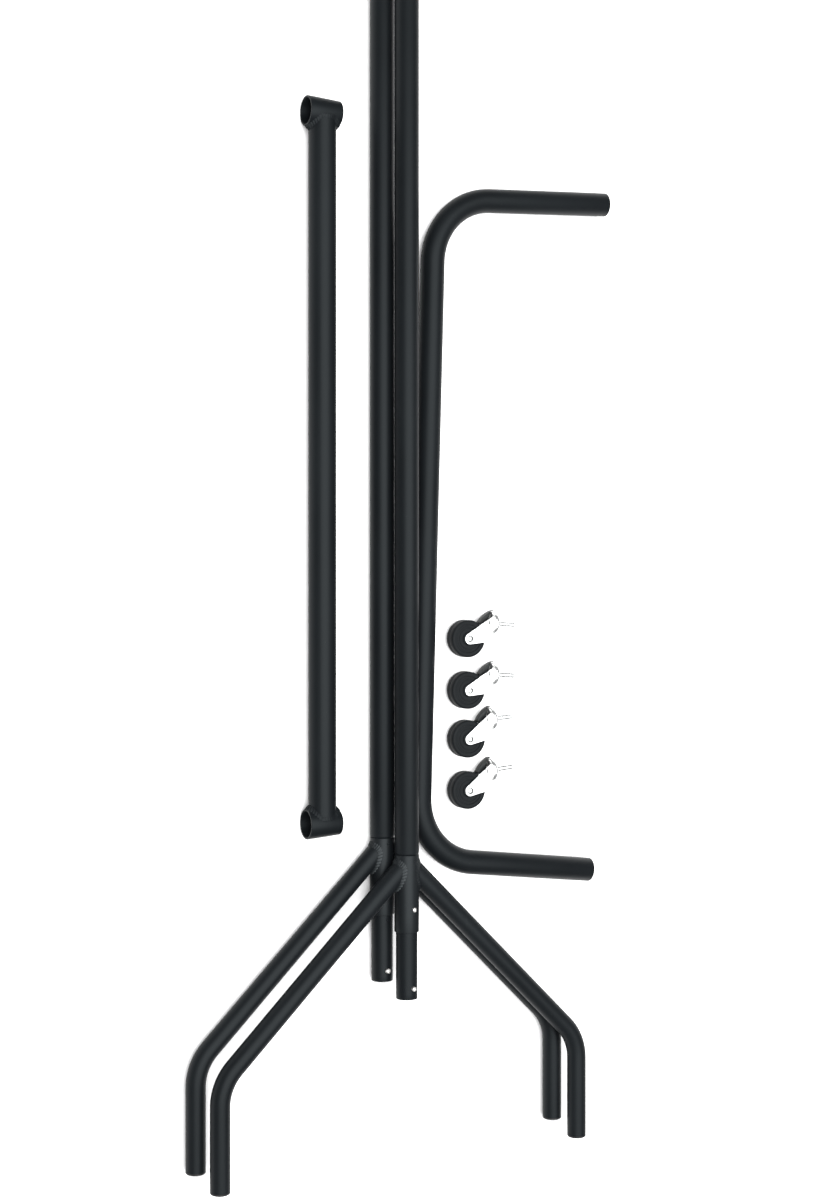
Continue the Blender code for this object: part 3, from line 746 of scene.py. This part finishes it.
def crossbarTube():
    ends = [collarFrame(hand)[0] for hand in ("lower", "upper")]
    inset = Vector((0, crossbar["inset"], 0))
    path = [ends[0] + inset, ends[1] - inset]
    obj = giveWall(looseObject("bar", sweep(path, crossbar["radius"], crossbar["sides"])))
    copes = []
    for hand in ("lower", "upper"):
        middle, half = collarFrame(hand)
        cone = bmesh.new()
        bmesh.ops.create_cone(cone, cap_ends=True, segments=crossbar["sides"], depth=2 * half,
                              radius1=crossbar["wide"] - crossbar["cope"],
                              radius2=crossbar["narrow"] - crossbar["cope"])
        copes.append(moved(cone, Matrix.Translation(middle) @ Matrix.Rotation(radians(90), 4, "Y")))
    combine(obj, copes)
    return finished(obj, "tube_crossbar", finishes["powder"], "crossbar", ["crossbar_tube"])


def crossbarWeld(hand, towards):
    middle, half = collarFrame(hand)
    rows = []
    for i in range(crossbar["weldSteps"]):
        turn = 2 * pi * i / crossbar["weldSteps"]
        outward = Vector((cos(turn), 0, sin(turn)))
        x, z = crossbar["radius"] * outward.x, crossbar["radius"] * outward.z
        reach = sqrt(max(collarRadius(x, half) ** 2 - z ** 2, crossbar["inset"] ** 2))
        normal = Vector((0, towards * reach, z)).normalized()
        onCollar = (outward - normal * outward.dot(normal)).normalized()
        size = crossbar["weld"] * (1 - crossbar["weldThins"] * sin(turn) ** 2)
        rows.append((middle + Vector((x, towards * reach, z)), Vector((0, towards * size, 0)), onCollar * size))
    return piece("weld_collar_" + hand, fillet(rows, crossbar["ripples"], crossbar["weldLift"]),
                 finishes["powder"], "crossbar")


crossbarTube()
for hand, towards in (("lower", 1), ("upper", -1)):
    crossbarCollar(hand)
    crossbarWeld(hand, towards)
print("crossbar ready")


# top rail

rail = {
    "radius": 0.016,
    "arm": 0.266,
    "lowerSplay": 5.7,
    "upperSplay": 4.6,
    "tilt": 1.594,
    "bendRadius": 0.090,
    "bendSteps": 24,
    "hole": 0.0035,
    "holeInset": 0.030,
    "rimAngle": 60,
}


def railRoute():
    low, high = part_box("top_rail")
    height = (low.z + high.z) / 2
    lowerLean = radians(-rail["tilt"] - rail["lowerSplay"])
    upperLean = radians(rail["upperSplay"] - rail["tilt"])
    radius = rail["radius"]
    # the ends of the arms touch the box at its right and at its top and bottom
    upperEnd = Vector((high.x - radius * sin(abs(upperLean)), high.y - radius * cos(upperLean), height))
    upperCorner = upperEnd - Vector((cos(upperLean), sin(upperLean), 0)) * rail["arm"]
    lowerY = low.y + radius * cos(lowerLean) + rail["arm"] * sin(abs(lowerLean))
    lowerCorner = Vector((upperCorner.x - (upperCorner.y - lowerY) * tan(radians(rail["tilt"])), lowerY, height))
    lowerEnd = lowerCorner + Vector((cos(lowerLean), sin(lowerLean), 0)) * rail["arm"]
    return [lowerEnd, lowerCorner, upperCorner, upperEnd]


def topRail():
    route = railRoute()
    path = bend(route, rail["bendRadius"], rail["bendSteps"])
    obj = giveWall(looseObject("rail", sweep(path, rail["radius"], tube["sides"])))
    drills = []
    for end, corner in ((route[0], route[1]), (route[3], route[2])):
        spot = end + (corner - end).normalized() * rail["holeInset"]
        drills.append(drill(rail["hole"], -tube["drillTo"], -tube["drillFrom"], Matrix.Translation(spot)))
    combine(obj, drills)
    softenRims(obj, tube["rim"], 2, rail["rimAngle"])
    return finished(obj, "tube_rail", finishes["powder"], "rail", ["top_rail"])


topRail()
print("rail ready")


# castors: X is the stem, pointing out of the head, and Z is the axle

castor = {
    "wheelRadius": 0.025,
    "wheelWidth": 0.019,
    "clearance": 0.0008,
    "sheet": 0.002,
    "plate": 0.0025,
    "back": -0.0059,
    "discRadius": 0.0157,
}


def castorFrame(number):
    turning = joints[f"castor_{number}_turn"]
    stem = Vector(turning["axis"]).normalized()
    up = Vector((0, 0, 1))
    turn = Matrix((stem, up.cross(stem), up)).transposed().to_4x4()
    return Matrix.Translation(turning["pos_m"]) @ turn


def localPlace(number, joint):
    return castorFrame(number).inverted() @ Vector(joints[f"castor_{number}_{joint}"]["pos_m"])


def aboutStem(matrix):
    # a turned piece's Z laid along the castor's X
    return matrix @ Matrix.Rotation(radians(90), 4, "Y")


def aboutAxle(matrix, spot):
    return matrix @ Matrix.Translation((spot.x, spot.y, 0))


def cheekFace():
    # where what sits on the outside of the fork's cheeks begins
    return castor["wheelWidth"] / 2 + castor["clearance"] + castor["sheet"] + tube["clearance"]


stemShape = {
    "root": 0.00335,
    "crest": 0.0039,
    "pitch": 0.00125,
    "start": 0.0062,
    "end": 0.0305,
    "stepsPerTurn": 28,
    "ridge": (0.36, 0.50, 0.86),  # crest begins, crest ends and root begins, as shares of the pitch
    "point": 0.0012,
    "pointDepth": 0.0009,
    "underThread": 0.0001,
    "collar": 0.0055,
    "collarLow": 0.0048,
    "collarHigh": 0.0060,
    "kingpin": 0.0036,
    "peen": 0.0060,
    "peenHeight": 0.0014,
    "peenShape": ((0.92, 0.6), (0.6, 1)),
    "edge": 0.0002,
    "sides": 32,
}


def stemThread():
    # a ridge wound up the stem, trimmed flat at both ends
    s = stemShape
    pitch, root, crest, perTurn = s["pitch"], s["root"], s["crest"], s["stepsPerTurn"]
    low, high = s["start"], s["end"] - s["point"]
    turns = int((high - low) / pitch) + 3
    up, over, down = s["ridge"]
    ridge = [(root, 0), (crest, up), (crest, over), (root, down), (root, 1)]
    bm = bmesh.new()
    verts = [bm.verts.new((radius, 0, low + (share - 1.5) * pitch)) for radius, share in ridge]
    edges = [bm.edges.new(pair) for pair in zip(verts, verts[1:])]
    bmesh.ops.spin(bm, geom=verts + edges, cent=(0, 0, 0), axis=(0, 0, 1), dvec=(0, 0, pitch / perTurn),
                   angle=2 * pi * turns, steps=perTurn * turns, use_merge=False, use_duplicate=False)
    tidy(bm)
    for height, side in ((low, -1), (high, 1)):
        bmesh.ops.bisect_plane(bm, geom=bm.verts[:] + bm.edges[:] + bm.faces[:], plane_co=(0, 0, height),
                               plane_no=(0, 0, side), clear_outer=True)
        rim = [edge for edge in bm.edges if edge.is_boundary
               and all(abs(vert.co.z - height) < 0.00001 for vert in edge.verts)]
        bmesh.ops.holes_fill(bm, edges=rim, sides=0)
    tidy(bm)
    return bm


def castorStem(number, matrix):
    name = f"castor_{number}_stem"
    s = stemShape
    front = castor["back"] - castor["plate"] - tube["clearance"]
    core, end = s["root"] - s["underThread"], s["end"]
    peened = [(s["peen"] * share, front - s["peenHeight"] * drop) for share, drop in s["peenShape"]]
    profile = [(0, end), (s["root"] - s["pointDepth"], end), (core, end - s["point"]),
               (core, s["collarHigh"]), (s["collar"], s["collarHigh"]),
               (s["collar"], s["collarLow"]), (s["kingpin"], s["collarLow"]), (s["kingpin"], front),
               (s["peen"], front), *peened, (0, front - s["peenHeight"])]
    body = f"castor_{number}_mount"
    bm = roundEdges(lathe(profile, s["sides"], closed=False), s["edge"], 2, tube["rimAngle"])
    piece(f"castor_{number}_kingpin", moved(bm, aboutStem(matrix)), finishes["head"], body, [name])
    return piece(f"castor_{number}_thread", moved(stemThread(), aboutStem(matrix)), finishes["head"], body)


head = {
    "radius": 0.016,
    "crown": 0.0045,
    "crownRadius": 0.0065,
    "crownEase": (0.0012, 0.0004),
    "dome": ((0.0110, 0.0029), (0.0138, 0.0012), (0.0153, -0.0004)),  # radius, height
    "shoulder": 0.0020,
    "bore": 0.0039,
    "skirt": 0.0056,
    "hem": (0.0005, 0.0006),
    "sides": 56,
    "smooth": 40,
}


def castorHead(number, matrix):
    h = head
    radius, crown, skirt, ease, hem = h["radius"], h["crown"], h["skirt"], h["crownEase"], h["hem"]
    profile = [(h["crownRadius"], crown), (h["crownRadius"] + ease[0], crown - ease[1]), *h["dome"],
               (radius, -h["shoulder"]), (radius, -skirt + hem[1]), (radius - hem[0], -skirt),
               (h["bore"], -skirt), (h["bore"], crown)]
    bm = moved(lathe(profile, h["sides"]), aboutStem(matrix))
    return piece(f"castor_{number}_head", bm, finishes["head"], f"castor_{number}_mount",
                 [f"castor_{number}_raceway"], smooth=h["smooth"])


forkShape = {
    "tipRadius": 0.007,
    "tipArc": (125, 279),
    "tipSteps": 20,
    "bendRadius": 0.003,
    "bendSteps": 6,
    "edge": 0.00035,
    "chin": (0.004, -0.0245),  # lowest corner: in front of the race plate, and down
    "drop": (0.0006, -0.0165),
    "heel": (0.0005, -0.0160),
    "rise": 0.0100,
    "blank": (-0.060, -0.045, 0.08),  # how far the sheet reaches before it is trimmed
    "trim": 2.4,
    "kingpinHole": 0.0039,
    "kingpinDrill": (-0.02, 0.01),
    "axleHole": 0.0032,
    "pinHole": 0.0022,
    "drillReach": 0.03,
    "discSides": 56,
}


def castorFork(number, matrix):
    # a sheet folded to a channel, its cheeks trimmed to shape, with the race plate pressed on its back
    f = forkShape
    axle, pin = localPlace(number, "spin"), localPlace(number, "brake_press")
    back, front = castor["back"], castor["back"] - castor["plate"]
    inner = castor["wheelWidth"] / 2 + castor["clearance"]
    outer = inner + castor["sheet"]
    curve, steps = f["bendRadius"], f["bendSteps"]
    reach, low, height = f["blank"]
    fold = [(reach, -outer), *arc((back - curve, -outer + curve), curve, -90, 0, steps),
            *arc((back - curve, outer - curve), curve, 0, 90, steps), (reach, outer)]
    bm = bmesh.new()
    verts = [bm.verts.new((x, low, z)) for x, z in fold]
    edges = [bm.edges.new(pair) for pair in zip(verts, verts[1:])]
    grown = bmesh.ops.extrude_edge_only(bm, edges=edges)["geom"]
    bmesh.ops.translate(bm, vec=(0, height, 0), verts=pointsIn(grown))
    bmesh.ops.recalc_face_normals(bm, faces=bm.faces)
    middle = sum((face.normal * face.calc_area() * (face.calc_center_median().z) for face in bm.faces), Vector())
    if middle.z < 0:
        bmesh.ops.reverse_faces(bm, faces=bm.faces)
    obj = looseObject("fork", bm)
    giveWall(obj, castor["sheet"], evenly=True)
    tip = arc(axle.xy, f["tipRadius"], *f["tipArc"], f["tipSteps"])
    outline = [(front - f["chin"][0], f["chin"][1]), (back - f["drop"][0], f["drop"][1]),
               (back + f["heel"][0], f["heel"][1]), (back + f["heel"][0], f["rise"]), (front, f["rise"]), *tip]
    combine(obj, [plate(outline, f["trim"] * outer)], "INTERSECT")
    radius = castor["discRadius"]
    disc = lathe([(0, back), (radius, back), (radius, front), (0, front)], f["discSides"], closed=False)
    lying, unturned, through = aboutStem(Matrix.Identity(4)), Matrix.Identity(4), f["drillReach"]
    combine(obj, [moved(disc, lying)], "UNION")
    combine(obj, [drill(f["kingpinHole"], *f["kingpinDrill"], lying),
                  drill(f["axleHole"], -through, through, aboutAxle(unturned, axle)),
                  drill(f["pinHole"], -through, through, aboutAxle(unturned, pin))])
    softenRims(obj, f["edge"])
    obj.data.transform(matrix)
    return finished(obj, f"castor_{number}_yoke", finishes["zinc"], f"castor_{number}_swivel",
                    [f"castor_{number}_fork"])


wheelShape = {
    "bore": 0.0032,
    "hub": 0.0085,
    "hubEase": (0.0008, 0.0004),
    "hubFoot": 0.0007,
    "recess": 0.0014,
    "groove": ((0.0135, 0), (0.0139, 0.0005), (0.0147, 0.0005), (0.0151, 0)),  # radius, depth
    "rim": 0.0195,
    "rimFoot": 0.0014,
    "rimEase": (0.0008, 0.0002),
    "shoulder": 0.0028,
    "shoulderEnd": 12,
    "shoulderSteps": 6,
    "treadWide": 0.45,
    "seam": (0.0002, 0.0004),  # the line round the middle of the tread: depth, half its width
    "sides": 72,
    "smooth": 28,
}


def castorWheel(number, matrix):
    w = wheelShape
    radius, half = castor["wheelRadius"], castor["wheelWidth"] / 2
    boss, web = half + castor["clearance"] / 2, half - w["recess"]
    hub, rim, curve = w["hub"], w["rim"], w["shoulder"]
    upper = [(w["bore"], boss), (hub - w["hubEase"][0], boss), (hub, boss - w["hubEase"][1]),
             (hub + w["hubFoot"], web), *[(r, web - depth) for r, depth in w["groove"]],
             (rim - w["rimFoot"], web), (rim - w["rimEase"][0], half - w["rimEase"][1]), (rim, half),
             (radius - curve, half),
             *arc((radius - curve, half - curve), curve, 90, w["shoulderEnd"], w["shoulderSteps"])[1:],
             (radius, half * w["treadWide"]), (radius, w["seam"][1]), (radius - w["seam"][0], 0)]
    lower = [(r, -z) for r, z in reversed(upper[:-1])]
    bm = lathe(upper + lower, w["sides"])
    moved(bm, aboutAxle(matrix, localPlace(number, "spin")))
    return piece(f"castor_{number}_tyre", bm, finishes["wheel"], f"castor_{number}_roller",
                 [f"castor_{number}_wheel"], smooth=w["smooth"])


bolt = {
    "radius": 0.0029,
    "head": 0.0044,
    "height": 0.0022,
    "dome": 0.0016,
    "chamfer": 0.0003,
    "end": 0.0005,
    "sides": 32,
    "nut": 0.0055,
    "nutHeight": 0.0034,
    "nutEdge": 0.0004,
    "nutPlay": 0.0002,
    "nutDrill": -0.02,
}


def castorBolt(number, matrix):
    seat, place = cheekFace(), aboutAxle(matrix, localPlace(number, "spin"))
    top, low = seat + bolt["height"], -seat - bolt["nutHeight"] - bolt["end"]
    domed = [(bolt["head"] * sin(radians(a)), top - bolt["dome"] * (1 - cos(radians(a)))) for a in range(0, 91, 15)]
    profile = [*domed, (bolt["head"], seat), (bolt["radius"], seat), (bolt["radius"], low + bolt["chamfer"]),
               (bolt["radius"] - bolt["chamfer"], low), (0, low)]
    bm = lathe(profile, bolt["sides"], closed=False)
    body = f"castor_{number}_swivel"
    piece(f"castor_{number}_rivet", moved(bm, place), finishes["bolt"], body, [f"castor_{number}_axle_bolt"])
    nut = bmesh.new()
    bmesh.ops.create_cone(nut, cap_ends=True, segments=6, radius1=bolt["nut"], radius2=bolt["nut"],
                          depth=bolt["nutHeight"])
    roundEdges(nut, bolt["nutEdge"], 2, tube["rimAngle"])
    hexagon = looseObject("nut", moved(nut, Matrix.Translation((0, 0, -seat - bolt["nutHeight"] / 2))))
    combine(hexagon, [drill(bolt["radius"] + bolt["nutPlay"], bolt["nutDrill"], 0, Matrix.Identity(4))])
    hexagon.data.transform(place)
    return finished(hexagon, f"castor_{number}_hexnut", finishes["bolt"], body,
                    [f"castor_{number}_axle_nut"])


pedalShape = {
    "width": 0.009,
    "edge": 0.0006,
    "heel": 0.0045,
    "heelArc": (230, 360),
    "toe": ((0.0047, 0.0065), (0.0058, 0.0112), (0.0067, 0.0154), (0.0110, 0.0158)),
    "back": 0.0421,
    "backCentre": (0.0266, -0.0219),
    "backArc": (112, 149),
    "tip": ((-0.0092, -0.00284), (-0.0065, -0.0035)),
    "hole": 0.0022,
    "holeSides": 24,
}


def castorPedal(number, matrix):
    p = pedalShape
    width = p["width"]
    heel = arc((0, 0), p["heel"], *p["heelArc"], 10)
    back = arc(p["backCentre"], p["back"], *p["backArc"], 20)
    obj = looseObject("pedal", plate([*heel, *p["toe"], *back, *p["tip"]], width))
    combine(obj, [drill(p["hole"], -width, width, Matrix.Identity(4), p["holeSides"])])
    softenRims(obj, p["edge"], 3)
    obj.data.transform(aboutAxle(matrix, localPlace(number, "brake_press")))
    return finished(obj, f"castor_{number}_brake_pedal", finishes["pedal"], f"castor_{number}_brake",
                    [f"castor_{number}_pedal"])


brakePin = {
    "head": ((0, 0.0009), (0.0018, 0.0009), (0.0027, 0.0005), (0.0030, 0), (0.0019, 0)),  # radius, height
    "sides": 24,
}


def castorPin(number, matrix):
    upper = [(radius, cheekFace() + height) for radius, height in brakePin["head"]]
    lower = [(r, -z) for r, z in reversed(upper)]
    bm = lathe(upper + lower, brakePin["sides"], closed=False)
    moved(bm, aboutAxle(matrix, localPlace(number, "brake_press")))
    return piece(f"castor_{number}_brake_pin", bm, finishes["bolt"], f"castor_{number}_swivel",
                 [f"castor_{number}_pedal_pin"])


for number in range(1, 5):
    place = castorFrame(number)
    for make in (castorStem, castorHead, castorFork, castorWheel, castorBolt, castorPedal, castorPin):
        make(number, place)
print("castors ready")


# floor, light and camera

studio = {
    "floor": (0.93, 0.93, 0.93),
    "floorSize": 8,
    "floorRoughness": 0.9,
    "floorShine": 0.1,
    "world": 0.36,
    "height": 3.2,
    "width": 4.2,
    "depth": 3.9,
    "shift": (-0.3, -0.1),
    "power": 370,
}


def floorAndLight():
    bm = bmesh.new()
    bmesh.ops.create_grid(bm, x_segments=1, y_segments=1, size=studio["floorSize"])
    ground = looseObject("floor", bm)
    finish = Finish("paleFloor", studio["floor"], studio["floorRoughness"], specular=studio["floorShine"])
    ground.data.materials.append(finish.material)
    world = bpy.data.worlds.new("studio")
    bpy.context.scene.world = world
    world.use_nodes = True
    backdrop = world.node_tree.nodes["Background"]
    backdrop.inputs["Color"].default_value = (1, 1, 1, 1)
    backdrop.inputs["Strength"].default_value = studio["world"]
    lamp = bpy.data.lights.new("softbox", "AREA")
    lamp.shape = "RECTANGLE"
    lamp.size = studio["width"]
    lamp.size_y = studio["depth"]
    lamp.energy = studio["power"]
    holder = bpy.data.objects.new("softbox", lamp)
    holder.location = (*studio["shift"], studio["height"])
    bpy.context.scene.collection.objects.link(holder)
    bpy.context.scene.view_settings.view_transform = "Standard"


view = {
    "place": (-1.1040, -0.0514, 2.2335),
    "turn": -26.53,
    "lens": 56.44,
    "sensor": 36,
    "lift": -0.0415,
    "nearest": 0.05,
    "furthest": 50,
}


def addCamera():
    lens = bpy.data.cameras.new("camera")
    lens.sensor_width = view["sensor"]
    lens.lens = view["lens"]
    lens.shift_y = view["lift"]
    lens.clip_start = view["nearest"]
    lens.clip_end = view["furthest"]
    holder = bpy.data.objects.new("camera", lens)
    holder.location = view["place"]
    holder.rotation_euler = (0, radians(view["turn"]), 0)
    bpy.context.scene.collection.objects.link(holder)
    bpy.context.scene.camera = holder


floorAndLight()
addCamera()
